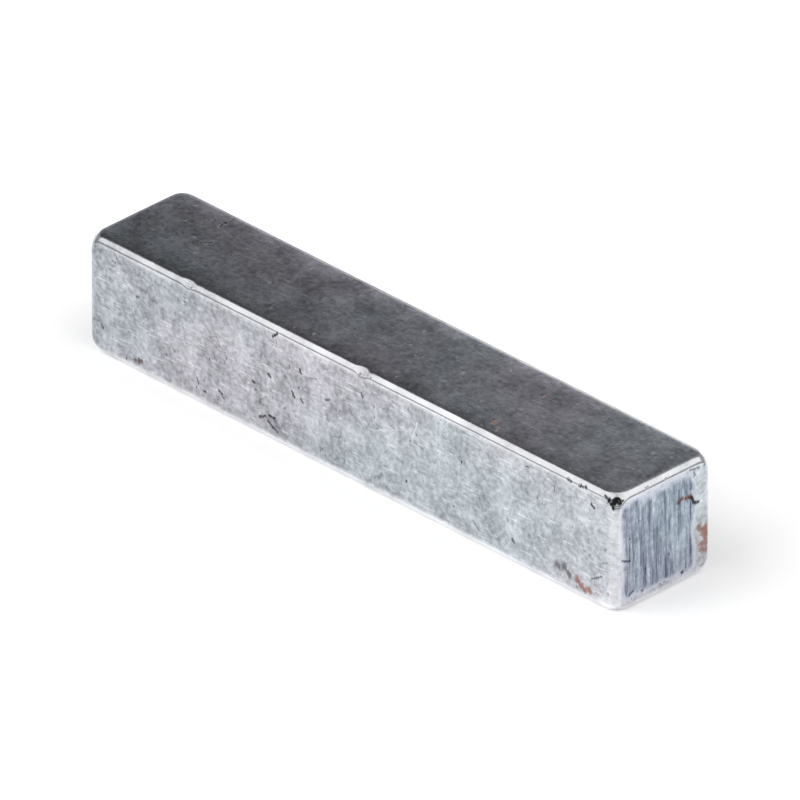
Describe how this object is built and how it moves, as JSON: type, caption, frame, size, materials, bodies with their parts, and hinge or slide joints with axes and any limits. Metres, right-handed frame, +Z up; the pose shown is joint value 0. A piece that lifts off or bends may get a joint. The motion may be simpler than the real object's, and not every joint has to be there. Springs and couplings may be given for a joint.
{
  "type": "parallel key",
  "caption": "Square-ended steel bar that locks a hub to a shaft: its lower half sits in the shaft's keyway and its upper half in the hub's.",
  "frame": {"origin": "centre of the underside, at the middle of the key's length and width", "axes": "+X along the length towards the end with the chipped top corner, +Y across the width from the front flank to the back flank, +Z up from the shaft to the hub"},
  "size_m": [0.028, 0.005, 0.005],
  "materials": {
    "key_steel": "drawn and tumbled, satin, with faint pits, scratches and specks of rust"
  },
  "bodies": {
    "root": {"parallel_key": "key_steel"}
  },
  "joints": []
}
